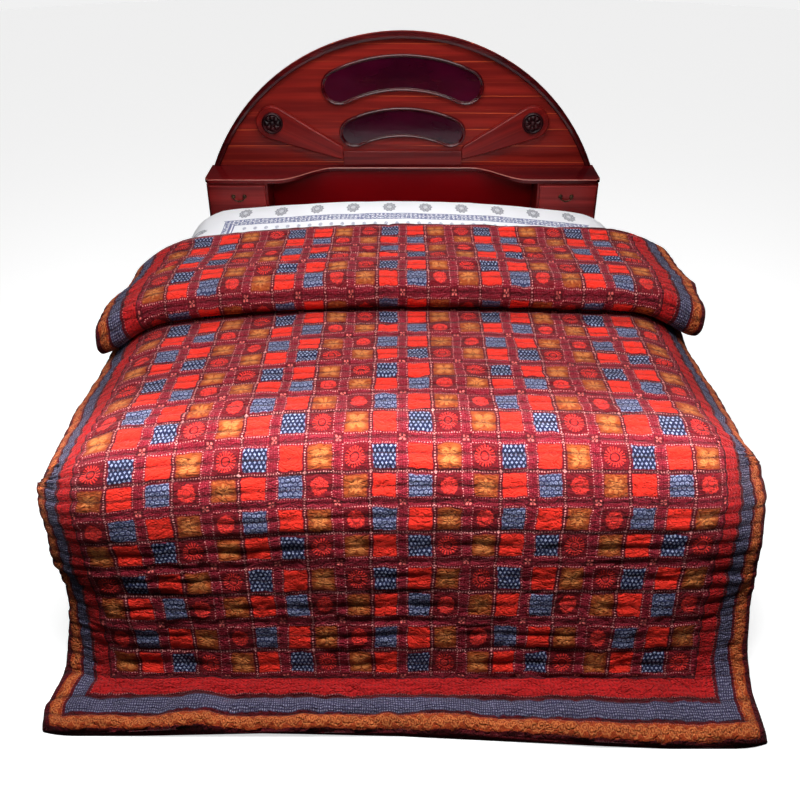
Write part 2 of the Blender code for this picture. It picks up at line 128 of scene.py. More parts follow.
# Mattress pad
PAD_HALF_WIDTH = 0.930
PAD_FOOT = 0.085
PAD_HEAD = 1.975
PAD_TOP = LAID - UNDERSIDE - 0.0012
PAD_BOTTOM = 0.4503
PAD_EDGE = 0.14
PAD_FOOT_EDGE = 0.09
PAD_CORNER = 0.20
HEAD_RISE = 0.036
HEAD_RISE_START = 1.34
HEAD_RISE_LENGTH = 0.40
BOWED_LEFT = 1.15
BOWED_RIGHT = 1.75
SHEET_LEFT = -0.072
SHEET_RIGHT = 0.080

# Printed cover: its lines from the sheet's middle, and the pitches of medallions and buds
BAND_MIDDLE_X = 0.02
BAND_SIDE = 0.81
BAND_HEAD = 1.675
MEDAL_LINE = 0.112
MEDAL_PITCH = 0.1675
MEDAL_PHASE = 0.864
BUD_PITCH_X = 0.0490
BUD_PITCH_Y = 0.0575
BUD_LINE = -0.042
PIPING = 0.943

# Headboard
SHELF_TOP = 0.8186
PANEL_FACE = 2.220 - 0.0004 + SLIDE
VENEER_PITCH = 0.0795

# Light: the sky's strengths, and lamps as place, target, watts, size across and along, spread in degrees
SKY_LOW = 0.05
SKY_OVERHEAD = 0.38
SKY_AROUND = 0.30
SUN = 0.9
FLOOR_GLOW = 0.62
BACKDROP_GLOW = 0.88
LAMPS = {
    "over_the_foot": ((0, SLIDE - 0.12, 2.05), (0, SLIDE - 0.02, 0.7), 38, (2.5, 0.5), 180),
    "over_the_head": ((0, SLIDE + 1.45, 2.4), (0, SLIDE + 1.85, 1.0), 23, (1.8, 0.5), 180),
    "slope": ((0, SLIDE - 1.30, 2.30), (0, SLIDE - 0.045, 0.695), 4.6, (2.2, 0.12), 14),
    "front": ((-1.4, -5.2, 2.6), (0, 0, 0.7), 7, (1.8, 1.4), 180),
}

# Camera of the photograph: focal length and shift in pixels of an 800-pixel picture, place and pitch
PICTURE = 800
SENSOR = 36
FOCAL = 880.4
SHIFT = -2.5
CAMERA_PLACE = (0.0, -2.1423 + SLIDE, 2.2002)
CAMERA_PITCH = 0.5678


# Numbers over grids

def ease(value):
    """Smoothly 0 to 1 as value goes from 0 to 1."""
    value = np.clip(value, 0.0, 1.0)
    return value * value * (3 - 2 * value)


def noise(seed, a, b):
    """A smooth random field from -1 to 1 over cells of size one."""
    table = np.random.default_rng(seed).uniform(-1, 1, (64, 64))
    i, j = np.floor(a).astype(int), np.floor(b).astype(int)
    fa, fb = ease(a - i), ease(b - j)

    def corner(di, dj):
        return table[(i + di) % 64, (j + dj) % 64]

    near = corner(0, 0) * (1 - fa) + corner(1, 0) * fa
    far = corner(0, 1) * (1 - fa) + corner(1, 1) * fa
    return near * (1 - fb) + far * fb


def rounded_path(corners):
    """Points along a line of (y, z, radius) corners, each corner an arc."""
    points = [Vector(corners[0][:2])]
    for before, corner, after in zip(corners, corners[1:], corners[2:]):
        at = Vector(corner[:2])
        back = (Vector(before[:2]) - at).normalized()
        ahead = (Vector(after[:2]) - at).normalized()
        half = back.angle(ahead) / 2
        centre = at + (back + ahead).normalized() * corner[2] / sin(half)
        start = at + back * corner[2] / tan(half) - centre
        turn = (pi - 2 * half) * (1 if start.x * ahead.y - start.y * ahead.x > 0 else -1)
        for step in range(17):
            points.append(centre + Matrix.Rotation(turn * step / 16, 2) @ start)
    points.append(Vector(corners[-1][:2]))
    return np.array(points)


def comforter_path():
    crease = (MIDDLE_LAYER - LAID) / 2 - 0.0001
    front = (UPPER_LAYER - MIDDLE_LAYER) / 2 - 0.0001
    head = (HEAD_LAYER - LAID) / 2.16
    return rounded_path([
        (HEM_Y, ON_FLOOR),
        (FLOOR_BEND_Y, ON_FLOOR, FLOOR_BEND_RADIUS),
        (SHOULDER_Y, LAID, SHOULDER_RADIUS),
        (CREASE_Y, LAID, crease),
        (CREASE_Y, MIDDLE_LAYER, crease),
        (FRONT_Y, MIDDLE_LAYER, front),
        (FRONT_Y, UPPER_LAYER, front),
        (CREST_Y, CREST, ROLL_RADIUS),
        (DIP_Y, DIP, ROLL_RADIUS),
        (HEAD_Y, HEAD_LAYER, head),
        (HEAD_Y, LAID, head),
        (HEAD_Y - 0.30, LAID),
    ])


PATH = comforter_path()
PATH_LENGTH = np.concatenate([[0], np.cumsum(np.hypot(*np.diff(PATH, axis=0).T))])


def along(t):
    return np.interp(t, PATH_LENGTH, PATH[:, 0]), np.interp(t, PATH_LENGTH, PATH[:, 1])


def by_block(t, table):
    blocks, values = zip(*table)
    return np.interp(t / BLOCK, blocks, values)


def side_curve(u, slope):
    part = np.clip((u - BEND_START) / (BEND_END - BEND_START), 0, 1)
    bend = BEND_END - BEND_START
    past = np.maximum(u - BEND_END, 0)
    angles = ease((np.arange(8) + 0.5) / 8 * part[..., None]) * slope[..., None]
    sideways = np.cos(angles).mean(-1) * part * bend + np.minimum(u, BEND_START) + past * np.cos(slope)
    drop = np.sin(angles).mean(-1) * part * bend + past * np.sin(slope)
    return sideways, drop, ease(part) * slope


def cloth_points(s, t):
    """Middle of the cloth, for arrays of places s across and t from the hem."""
    y, z = along(t)
    step = 0.004
    y_back, z_back = along(t - step)
    y_ahead, z_ahead = along(t + step)
    side = np.where(s >= 0, 1.0, -1.0)
    slope = np.radians(by_block(t, SIDE_SLOPE) + by_block(t, LEFT_TUCK) * (side < 0))
    distance = np.abs(s)
    on_bed = t >= 6 * BLOCK
    height = np.where(on_bed, z - LAID, 0.0)
    u = distance
    for _ in range(6):
        sideways, drop, angle = side_curve(u, slope)
        u = distance - height * angle
    sideways = sideways * by_block(t, SIDE_WIDTH) + height * np.sin(angle)
    tangent = np.arctan2(z_ahead - z_back, y_ahead - y_back)
    z = np.where(on_bed, LAID + height * np.cos(angle), z)
    share = np.minimum(distance / (COLUMNS / 2 * BLOCK), 1.1) ** 2
    top_share = ease((t / BLOCK - 1.0) / 4.0)
    drop = drop + CROWN * share * top_share
    y = y + np.where(on_bed, 0.0, np.sin(tangent)) * drop
    z = z + np.where(on_bed, -1.0, -np.cos(tangent)) * drop
    y = y - share * top_share * np.where(side < 0, BOW_LEFT, BOW_RIGHT)
    y = y - HEM_SWEEP * np.maximum(1 - t / BLOCK, 0) * ease((s + 0.1) / 0.9)
    rise = sum(height * np.exp(-((s - place) / half) ** 2) for place, half, height in HEM_FOLDS)
    z = np.maximum(z, ON_FLOOR) + rise * ease(1 - t / (1.4 * BLOCK))
    return np.stack((side * sideways, y + SLIDE, z), -1)


def cloth_normals(s, t):
    step = 0.003
    across = cloth_points(s + step, t) - cloth_points(s - step, t)
    ahead = cloth_points(s, t + step) - cloth_points(s, t - step)
    normal = np.cross(across, ahead)
    return normal / np.linalg.norm(normal, axis=-1, keepdims=True)


def edge_share(s, t):
    inside = np.minimum(np.minimum(HALF_WIDTH - np.abs(s), t), LENGTH - t)
    return EDGE_SHARE + (1 - EDGE_SHARE) * np.sqrt(1 - (1 - np.clip(inside / EDGE_ROUNDING, 0, 1)) ** 2)


# Meshes

def add_mesh(name, points, faces, materials, uv_maps=(), face_materials=None, smooth=180):
    mesh = bpy.data.meshes.new(name)
    mesh.from_pydata([tuple(p) for p in points], [], faces)
    for item in materials:
        mesh.materials.append(item)
    if face_materials is not None:
        mesh.polygons.foreach_set("material_index", np.array(face_materials, dtype=np.int32))
    corners = np.empty(len(mesh.loops), dtype=np.int32)
    mesh.loops.foreach_get("vertex_index", corners)
    for map_name, values in uv_maps:
        layer = mesh.uv_layers.new(name=map_name)
        layer.data.foreach_set("uv", np.asarray(values, dtype=np.float32)[corners].ravel())
    mesh.shade_smooth()
    if smooth < 180:
        mesh.set_sharp_from_angle(angle=radians(smooth))
    mesh.validate()
    made = bpy.data.objects.new(name, mesh)
    bpy.context.scene.collection.objects.link(made)
    return made


def circle(count):
    """Angles of equal steps round a circle."""
    return np.linspace(0, 2 * pi, count + 1)[:-1]


def finished(name, points, faces, material, node, uv_maps=(), smooth=50):
    """A closed piece with its normals turned outward, in place of a node."""
    made = add_mesh(name, points, faces, [material], uv_maps, smooth=smooth)
    fix = bmesh.new()
    fix.from_mesh(made.data)
    bmesh.ops.recalc_face_normals(fix, faces=fix.faces)
    fix.to_mesh(made.data)
    fix.free()
    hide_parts(node)
    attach(made, "root")
    return made


def tube_faces(rows, count, first=0, closed=False):
    """Quads round a tube of rows of count points each; a closed one's last row joins its first."""
    faces = []
    for j in range(rows if closed else rows - 1):
        here, after = first + j * count, first + (j + 1) % rows * count
        for i in range(count):
            k = (i + 1) % count
            faces.append((here + i, here + k, after + k, after + i))
    return faces


def grid_faces(at, flip):
    a, b, c, d = at[:-1, :-1], at[:-1, 1:], at[1:, 1:], at[1:, :-1]
    quads = np.stack((a, b, c, d) if not flip else (a, d, c, b), -1).reshape(-1, 4)
    return [tuple(q) for q in quads.tolist()]


def strip_between(first, second):
    """Triangles and quads between two rows of vertices with different counts."""
    faces = []
    i, j = 0, 0
    while i < len(first) - 1 or j < len(second) - 1:
        behind = (i + 1) / (len(first) - 1) <= (j + 1) / (len(second) - 1)
        if j == len(second) - 1 or (i < len(first) - 1 and behind):
            faces.append((first[i], first[i + 1], second[j]))
            i += 1
        else:
            faces.append((first[i], second[j + 1], second[j]))
            j += 1
    return faces


# Shader fields

def linear(colour):
    """The renderer's colour from 0 to 255 numbers."""
    shares = [v / 255 for v in colour]
    return (*(v / 12.92 if v <= 0.04045 else ((v + 0.055) / 1.055) ** 2.4 for v in shares), 1)


class Field:
    """A number that varies over a surface, made of shader nodes."""

    def __init__(self, tree, socket):
        self.tree, self.socket = tree, socket

    def math(self, operation, *others):
        node = self.tree.nodes.new("ShaderNodeMath")
        node.operation = operation
        for socket, value in zip(node.inputs, (self,) + others):
            feed(self.tree, value, socket)
        return Field(self.tree, node.outputs[0])

    __add__ = __radd__ = partialmethod(math, "ADD")
    __mul__ = __rmul__ = partialmethod(math, "MULTIPLY")
    __sub__ = partialmethod(math, "SUBTRACT")
    __truediv__ = partialmethod(math, "DIVIDE")
    __abs__ = partialmethod(math, "ABSOLUTE")
    floor = partialmethod(math, "FLOOR")
    fract = partialmethod(math, "FRACT")
    over = partialmethod(math, "GREATER_THAN")
    under = partialmethod(math, "LESS_THAN")
    power = partialmethod(math, "POWER")
    sine = partialmethod(math, "SINE")
    cosine = partialmethod(math, "COSINE")

    def __rsub__(self, other):
        return (self * -1.0) + other

    def cell(self):
        """Place from the middle of a cell of size one."""
        return self.fract() - 0.5

    def ramp(self, low, high):
        """Smoothly 0 to 1 from low to high."""
        node = self.tree.nodes.new("ShaderNodeMapRange")
        node.interpolation_type = "SMOOTHSTEP"
        feed(self.tree, self, node.inputs["Value"])
        node.inputs["From Min"].default_value = low
        node.inputs["From Max"].default_value = high
        return Field(self.tree, node.outputs["Result"])

    def fall(self, low, high):
        """Smoothly 1 to 0 from low to high."""
        return 1.0 - self.ramp(low, high)

    def band(self, centre, half, soft):
        """1 where within half of centre, with soft edges."""
        return abs(self - centre).fall(half - soft, half + soft)


def feed(tree, value, socket):
    if isinstance(value, Field):
        value = value.socket
    if isinstance(value, bpy.types.NodeSocket):
        tree.links.new(value, socket)
    else:
        socket.default_value = value


def parts(tree, vector):
    """The three fields of a vector."""
    made = tree.nodes.new("ShaderNodeSeparateXYZ")
    tree.links.new(vector, made.inputs[0])
    return [Field(tree, socket) for socket in made.outputs]


def hypot(a, b):
    return (a * a + b * b).math("SQRT")


def either(first, *others):
    """The largest of some fields."""
    for other in others:
        first = first.math("MAXIMUM", other)
    return first


class Shader:
    """A principled material and the nodes that feed it. Colours are the usual 0 to 255 numbers."""

    def __init__(self, name, roughness, **values):
        self.material = bpy.data.materials.new(name)
        self.material.use_nodes = True
        self.tree = self.material.node_tree
        self.set(Roughness=roughness, **values)

    def set(self, **values):
        """Sets or links inputs of the material's surface."""
        for key, value in values.items():
            feed(self.tree, value, self.tree.nodes["Principled BSDF"].inputs[key.replace("_", " ")])
        return self.material

    def node(self, kind, inputs, **settings):
        made = self.tree.nodes.new(kind)
        for key, value in settings.items():
            setattr(made, key, value)
        for key, value in inputs.items():
            feed(self.tree, value, made.inputs[key])
        return made

    def plane(self, uv_map):
        """The two fields of a UV map."""
        return parts(self.tree, self.node("ShaderNodeUVMap", {}, uv_map=uv_map).outputs[0])[:2]

    def space(self):
        return parts(self.tree, self.node("ShaderNodeTexCoord", {}).outputs["Object"])

    def join(self, x, y, z=0.0):
        return self.node("ShaderNodeCombineXYZ", {0: x, 1: y, 2: z}).outputs[0]

    def noise(self, vector, scale, detail, roughness=0.5):
        inputs = {"Vector": vector, "Scale": scale, "Detail": detail, "Roughness": roughness}
        return Field(self.tree, self.node("ShaderNodeTexNoise", inputs, noise_dimensions="3D").outputs["Fac"])

    def mottle(self, x, y, z=0.0, detail=2.0, roughness=0.5):
        """Noise over fields that are already scaled."""
        return self.noise(self.join(x, y, z), 1.0, detail, roughness)

    def mix(self, factor, first, second, blend="MIX"):
        """Colour first where factor is 0, second where it is 1."""
        first, second = (linear(item) if isinstance(item, tuple) else item for item in (first, second))
        inputs = {"Factor": factor, 6: first, 7: second}
        return self.node("ShaderNodeMix", inputs, data_type="RGBA", blend_type=blend).outputs[2]

    def shade(self, colour, value):
        """Colour multiplied by a field."""
        return self.mix(1.0, colour, self.join(value, value, value), "MULTIPLY")

    def finish(self, colour, roughness, height, distance):
        """Gives the surface its colour, roughness and bumps."""
        bump = self.node("ShaderNodeBump", {"Strength": 1.0, "Distance": distance, "Height": height})
        return self.set(Base_Color=colour, Roughness=roughness, Normal=bump.outputs[0])


# The print

MAROON = (86, 6, 18)
SASH = (116, 4, 26)
SASH_FLECK = (150, 28, 46)
STITCHED = (194, 78, 92)
DOT = (236, 156, 152)
CROSSING = (236, 112, 106)
CORAL = (228, 52, 44)
MOTIF_GROUND = (108, 8, 20)
RED = (234, 44, 28)
MUSTARD = (154, 66, 24)
PETAL = (204, 120, 62)
BROWN = (92, 24, 14)
SLATE = (28, 34, 68)
SLATE_DOT = (146, 154, 184)
FLORAL = (50, 54, 88)
FLORAL_RING = (144, 150, 180)
BORDER_RED = (190, 26, 28)
BORDER_BLUE = (66, 60, 88)
BORDER_DOT = (146, 144, 170)
BORDER_ORANGE = (170, 62, 24)
BORDER_PALE = (218, 122, 66)


def dot_row(along_it, across_it, count, radius):
    """A row of dots, count of them in a block, along one line."""
    place = (along_it * count).cell() / count
    return hypot(place, across_it).fall(radius * 0.6, radius * 1.25)


def block_print():
    """Blocks of four printed squares between dotted sashes, inside a border of three bands."""
    shader = Shader("block_print_cotton", 0.7, Sheen_Weight=0.05, Sheen_Roughness=0.6,
                    Specular_IOR_Level=0.12)
    u, v = shader.plane("print")
    mix, mottle = shader.mix, shader.mottle
    plane = shader.join(u, v)

    def shaken(field, drift_at, shiver_at):
        """A little off its true place, as hand printing is."""
        drift, shiver = shader.noise(drift_at, 2.2, 3.0), shader.noise(shiver_at, 8.0, 2.0)
        return field + (drift - 0.5) * 0.085 + (shiver - 0.5) * 0.045

    u, v = shaken(u, plane, plane), shaken(v, shader.join(u + 31.0, v), shader.join(u, v + 57.0))
    fine = shader.noise(plane, 60.0, 3.0, 0.6)
    speck = shader.noise(plane, 26.0, 2.0, 0.6)

    # Which block, and places in it; every other column is turned half round
    column, row = u.floor(), v.floor()
    turned = (column * 0.5).fract().under(0.25)
    kind = abs(turned - (row * 0.5).fract().under(0.25))
    a0, b0 = u.fract(), v.fract()
    a = a0 + turned * (1.0 - a0 * 2.0)
    b = b0 + turned * (1.0 - b0 * 2.0)
    left, head = a.under(0.5), b.over(0.5)
    from_a, from_b = abs(a0 - 0.5), abs(b0 - 0.5)
    ex, ey = (from_a - SQUARE_CENTRE) / SQUARE_HALF, (from_b - SQUARE_CENTRE) / SQUARE_HALF
    worn = (speck - 0.5) * 0.16
    square = (ex + worn).band(0.0, 0.96, 0.06) * (ey + worn).band(0.0, 0.96, 0.06)
    radius = hypot(ex, ey)

    # Sun with rays, and a filled flower head
    turn = ey.math("ARCTAN2", ex)
    rays = (turn * 20.0).cosine().ramp(-0.35, 0.35) * radius.band(0.66, 0.17, 0.03)
    sun = either(rays, radius.band(0.45, 0.05, 0.03), radius.fall(0.24, 0.30) * 0.7)
    sun = sun * (0.55 + 0.45 * speck.ramp(0.25, 0.50))
    oval = hypot(ex / 0.78, ey / 0.84)
    ribs = abs((turn * 6.0).sine()).ramp(0.10, 0.32) * oval.over(0.46)
    petals = either(ribs * 0.6 + 0.4, oval.under(0.38)) * (0.45 + 0.55 * speck.ramp(0.30, 0.56))
    flower = (oval - (turn * 12.0).cosine() * 0.05).fall(0.84, 0.98) * petals
    motif = mix(flower + kind * (sun - flower), MOTIF_GROUND, CORAL)

    # Slate squares: a lattice of pale drops, or small rings
    y_cells = ey * 3.0
    x_cells = ex * 2.75 + (y_cells.floor() * 0.5).fract()
    drop = abs(x_cells.cell()) / 0.36 + abs(y_cells.cell()) / 0.50
    y_rings = ey * 2.5
    x_rings = ex * 2.5 + (y_rings.floor() * 0.5).fract()
    ring = hypot(x_rings.cell(), y_rings.cell())
    rings = either(ring.band(0.30, 0.09, 0.06), ring.fall(0.06, 0.16)) * speck.ramp(0.30, 0.52)
    slate = mix(kind, mix(rings, FLORAL, FLORAL_RING), mix(drop.fall(0.72, 1.0), SLATE, SLATE_DOT))

    # Mustard squares: four petals about a cross, or an eight-pointed star
    four = (radius / (0.20 + 0.78 * abs((turn * 2.0).sine()).power(0.6))).fall(0.62, 1.08)
    starred = (radius / (0.24 + 0.62 * abs((turn * 4.0).cosine()).power(0.7))).fall(0.60, 1.05)
    bloom = four + kind * (starred - four)
    mustard = mix(bloom * 0.85 * speck.ramp(0.20, 0.48), MUSTARD, PETAL)
    heart = radius.band(0.15, 0.035, 0.04) * 0.55
    frayed = (radius - 0.95 + (speck - 0.5) * 0.5).ramp(0.0, 0.5) * 0.45
    mustard = mix(either(heart, frayed), mustard, BROWN)
    corner_dots = hypot(abs(ex) - 0.78, abs(ey) - 0.78).fall(0.03, 0.10)
    mustard = mix(corner_dots * kind * 0.5, mustard, PETAL)
    red = shader.shade(RED, 0.90 + 0.2 * mottle(u * 40.0, v * 6.0))
    squares = mix(head, mix(left, red, mustard), mix(left, slate, motif))

    # Sashes between the blocks, thin strips between the squares
    fleck = mottle(u * 45.0, v * 45.0, detail=1.0).ramp(0.50, 0.62)
    sash = mix(fleck * 0.75, SASH, SASH_FLECK)
    sash = mix(either(from_a.under(STRIP_HALF), from_b.under(STRIP_HALF)) * 0.8, sash, MAROON)
    lines = either(dot_row(v, u.cell(), DOTS, 0.0125), dot_row(u, v.cell(), DOTS, 0.0125),
                   dot_row(v, from_a - SQUARE_LINE, DOTS, 0.0105) * from_b.under(SQUARE_LINE),
                   dot_row(u, from_b - SQUARE_LINE, DOTS, 0.0105) * from_a.under(SQUARE_LINE))
    lines = lines * (0.45 + 0.55 * speck.ramp(0.34, 0.60)) * 0.9
    lines = either(lines, hypot(from_a, from_b).fall(0.014, 0.028))
    stitches = either(dot_row(v, abs(from_a - SASH_MIDDLE) - 0.014, 34.0, 0.0085),
                      dot_row(u, abs(from_b - SASH_MIDDLE) - 0.014, 34.0, 0.0085))
    sash = mix(stitches * speck.ramp(0.30, 0.62) * 0.6, sash, STITCHED)
    crossing = hypot(abs(0.5 - from_a) - 0.029, abs(0.5 - from_b) - 0.029).fall(0.012, 0.026)
    crossing = either(crossing, hypot(0.5 - from_a, 0.5 - from_b).fall(0.008, 0.018))
    sash = mix(from_a.over(0.42) * from_b.over(0.42) * 0.7, sash, MAROON)
    sash = mix(crossing, sash, CROSSING)
    field = mix(lines, mix(square, sash, squares), DOT)

    # Border: red, slate blue and orange bands between maroon lines, mitred at the corners
    beyond_u, beyond_v = abs(u - MIDDLE_COLUMN) - COLUMNS / 2, abs(v - MIDDLE_ROW) - ROWS / 2
    out = either(beyond_u, beyond_v)
    side = beyond_u.over(beyond_v)
    run = u + side * (v - u)
    little = hypot((run * 16.0).cell(), ((out - INNER_LINE) * 15.0).cell())
    red_band = mix(little.fall(0.22, 0.36) * 0.55 * fine.ramp(0.3, 0.6), BORDER_RED, MAROON)
    tiny = hypot((run * 26.0).cell(), (out * 26.0).cell())
    blue_band = mix(tiny.fall(0.20, 0.40) * 0.9, BORDER_BLUE, BORDER_DOT)
    blue_band = mix(fleck * 0.6, blue_band, SLATE)
    turns = (run * 9.0).cell()
    flip = (run * 4.5).fract().over(0.5) * 2.0 - 1.0
    scroll = hypot(turns / 9.0, out - SCROLL_LINE - flip * 0.018)
    coil = either(scroll.band(0.046, 0.009, 0.006), scroll.fall(0.012, 0.026))
    vine = abs(out - SCROLL_LINE - (run * 28.27).cosine() * 0.070).fall(0.006, 0.020)
    orange = mix(fine.ramp(0.52, 0.68) * 0.55, BORDER_ORANGE, BORDER_PALE)
    orange = mix(fine.fall(0.34, 0.48) * 0.5, orange, BROWN)
    orange = mix(either(coil, vine) * (0.35 + 0.65 * fine.ramp(0.25, 0.5)), orange, BORDER_PALE)
    band = mix(out.over(BLUE_END), mix(out.over(RED_END), red_band, blue_band), orange)
    gaps = either(out.band(RED_END, 0.036, 0.010), out.band(BLUE_END, 0.024, 0.008), out.over(ORANGE_END),
                  out.under(INNER_LINE))
    band = mix(gaps, band, mix(fleck * 0.6, MAROON, SASH))
    edge_dots = either(dot_row(run, out - (RED_END - 0.028), DOTS, 0.009),
                       dot_row(run, out - (BLUE_END + 0.032), DOTS, 0.009))
    band = mix(edge_dots * 0.35, band, DOT)
    print_colour = mix(out.over(0.0), field, band)

    # Uneven ink, painted shade in the stitched valleys, thread marks
    across, channels = shader.plane("stitch")
    valley = abs((channels + 0.5).cell())
    # Painted shade: the print is darkened across each stitched valley, by a random depth that shut sets
    valley_shade_mask = valley.fall(0.0, 0.20)
    thread = (across * 6.0).fract().band(0.5, 0.28, 0.08) * valley.fall(0.014, 0.030)
    ink = mottle(u * 1.1, v * 1.4, detail=3.0)
    grain = mottle(u * 120.0, v * 30.0)
    shut = mottle(u * 1.7, (channels + 0.5).floor() * 3.1).ramp(0.30, 0.62)
    painted_valley_shade = 1.0 - valley_shade_mask * (0.18 + 0.34 * shut)
    print_colour = shader.shade(print_colour, (0.70 + 0.60 * ink) * (0.84 + 0.32 * grain) * painted_valley_shade)
    print_colour = mix(thread * 0.5, print_colour, MAROON)

    # Thread and small tucks that run across the cloth
    weave = (u * 1160.0).sine() * (v * 1160.0).sine()
    tucks = mottle(u * 9.0, v * 17.0, detail=3.0, roughness=0.6)
    creases = abs(mottle(u * 5.0 + 7.0, v * 9.0) - 0.5).ramp(0.0, 0.07)
    relief = tucks * 2.2 + creases + weave * 0.03 + fine * 0.2 - thread * 0.4
    return shader.finish(print_colour, 0.62 + 0.2 * fine, relief, 0.0040)


def backing():
    """Plain maroon cotton with a scatter of small sprigs."""
    shader = Shader("backing_cotton", 0.75, Sheen_Weight=0.2, Specular_IOR_Level=0.3)
    u, v = shader.plane("print")
    cell_v = v * 3.0
    cell_u = u * 3.0 + (cell_v.floor() * 0.5).fract()
    x, y = cell_u.cell(), cell_v.cell()
    turn = y.math("ARCTAN2", x)
    sprig = (hypot(x, y) / (0.15 + 0.05 * (turn * 5.0).cosine())).fall(0.8, 1.1)
    cloth = shader.noise(shader.join(u, v), 40.0, 3.0)
    ground = shader.mix(cloth, (88, 22, 30), (122, 40, 40))
    colour = shader.mix(sprig * 0.7, ground, (190, 110, 70))
    relief = shader.mottle(u * 6.0, v * 24.0, detail=3.0) + cloth * 0.3
    return shader.finish(colour, 0.68 + 0.15 * cloth, relief, 0.002)


# The comforter

def hidden_share(t):
    """1 where the printed face is shut inside the fold."""
    places = np.linspace(0, LENGTH, 4000)
    y, z = along(places)
    first = places[np.argmax(y > FRONT_Y + 0.02)]
    last = places[np.argmax((places > first) & (z > MIDDLE_LAYER + 0.004))]
    return ease((t - first) / 0.05) * ease((last - t) / 0.05)


def border_stretched(v):
    """Blocks from the hem, with the outermost of the border's print turned under round the edge."""
    past = np.clip(1 - v, 0, 1)
    return v + past * 0.16 - past ** 2 * 0.06


def corner_drawn(s, t):
    """How far the two hem corners are rounded off."""
    corner = np.clip((np.abs(s) - HALF_WIDTH) / CORNER_ROUND + 1, 0, 1) * np.clip(1 - t / CORNER_ROUND, 0, 1)
    return CORNER_DRAWN * corner ** 2


def side_share(s):
    return ease((np.abs(s) - 0.90) / 0.15)


def drop_share(t):
    """1 on the cloth that falls over the foot, 0 on the bed and on the floor."""
    return ease((4.1 - t / BLOCK) / 0.8) * ease((t / BLOCK - 0.7) / 0.6)


def settled_share(t):
    """1 where the cloth lies on the floor."""
    return ease((1.1 - t / BLOCK) / 0.3)


def fold_waves(s, t):
    return FOLD_WAVE * noise(20, s / 0.30, t / 0.33) * drop_share(t)


def quilting(s, t):
    """Height of the printed face over the cloth's middle, its puff, and the phase of the stitched lines."""
    on_drop, near_hem = drop_share(t), ease((1.3 - t / BLOCK) / 0.5)
    open_face = 1 - 0.75 * hidden_share(t)

    # Stitched lines wander a little; the filling puffs between them and is caught in short tucks
    wander = 0.13 * noise(11, s / 0.24, t / 0.30) + 0.06 * noise(12, s / 0.07, t / 0.10)
    phase = np.where(t < BLOCK, np.interp(t / BLOCK, HEM_CHANNELS, (1, 2, 3, 4)), t / CHANNEL) + wander
    pulled = 0.25 + 0.75 * ease(0.45 + 0.9 * noise(21, s / 0.16, np.round(phase) * 0.37 + 5))
    pulled = pulled * (0.54 + 0.06 * on_drop + 0.22 * near_hem) * (1 - 0.45 * side_share(s))
    puff = 1 - (1 - np.abs(np.sin(pi * phase)) ** 0.8) * pulled
    fullness = 1 + FULLNESS * noise(13, s / 0.26, t / 0.06) * open_face
    relief = TOP_STITCH + (TOP_PUFF - TOP_STITCH) * puff * fullness

    # Creases along the channels, puckers across them, and small wrinkles
    lines = noise(14, s / 0.10 + 3, t / 0.034)
    broken = ease(0.45 + 1.2 * noise(15, s / 0.17, t / 0.12))
    relief -= (CREASE_DEPTH + 0.0020 * on_drop) * np.exp(-(lines / 0.15) ** 2) * broken * open_face
    puckers = noise(24, s / 0.075 + 0.3 * noise(25, s / 0.3, t / 0.05), t / 0.11)
    relief -= (PUCKER_DEPTH + 0.0030 * on_drop) * np.exp(-(puckers / 0.14) ** 2) * open_face
    relief += WRINKLE_DEPTH * noise(16, s / 0.036, t / 0.018) * open_face * (0.6 + 0.6 * on_drop)

    # Rumpled hem, and slack on top of the bed
    rumpled = RUMPLE_DEPTH * noise(26, s / 0.05, t / 0.040) + 0.0025 * noise(27, s / 0.02, t / 0.025)
    relief += near_hem * rumpled
    slack = SLACK_DEPTH * np.maximum(noise(17, s / 0.40, t / 0.35), 0)
    return relief + slack * ease(t / BLOCK - 5.0) * open_face, puff, phase


def printed_face(s, t):
    """Points of the printed face, and the phase of the stitched lines."""
    relief, puff, phase = quilting(s, t)

    # Edges drawn in at each stitched line
    ragged = 0.005 * (1 - puff) + 0.007 * noise(18, t / 0.09, s * 0 + np.sign(s))
    hem = ease((0.06 - t) / 0.06)
    drawn_in = corner_drawn(s, t)
    s_drawn = s * (1 - side_share(s) * ragged) - np.sign(s) * drawn_in
    t_drawn = t + hem * 0.004 * (1 + noise(19, s / 0.07, t * 0)) + drawn_in

    share = edge_share(s, t)
    height = fold_waves(s, t) + relief * share
    points = cloth_points(s_drawn, t_drawn) + cloth_normals(s_drawn, t_drawn) * height[..., None]
    points[..., 2] -= HEM_SUNK * settled_share(t) * (1 - share)
    return points, phase


def underside(s, t):
    drawn_in = corner_drawn(s, t)
    puff = np.abs(np.sin(pi * t / CHANNEL)) ** 0.8
    height = fold_waves(s, t) - UNDERSIDE * edge_share(s, t) * (0.88 + 0.12 * puff)
    points = cloth_points(s - np.sign(s) * drawn_in, t + drawn_in) + cloth_normals(s, t) * height[..., None]
    settled, z = settled_share(t), points[..., 2]
    points[..., 2] = np.where(settled > 0, np.maximum(z - UNDER_SUNK * settled, 0.0003), z)
    return points


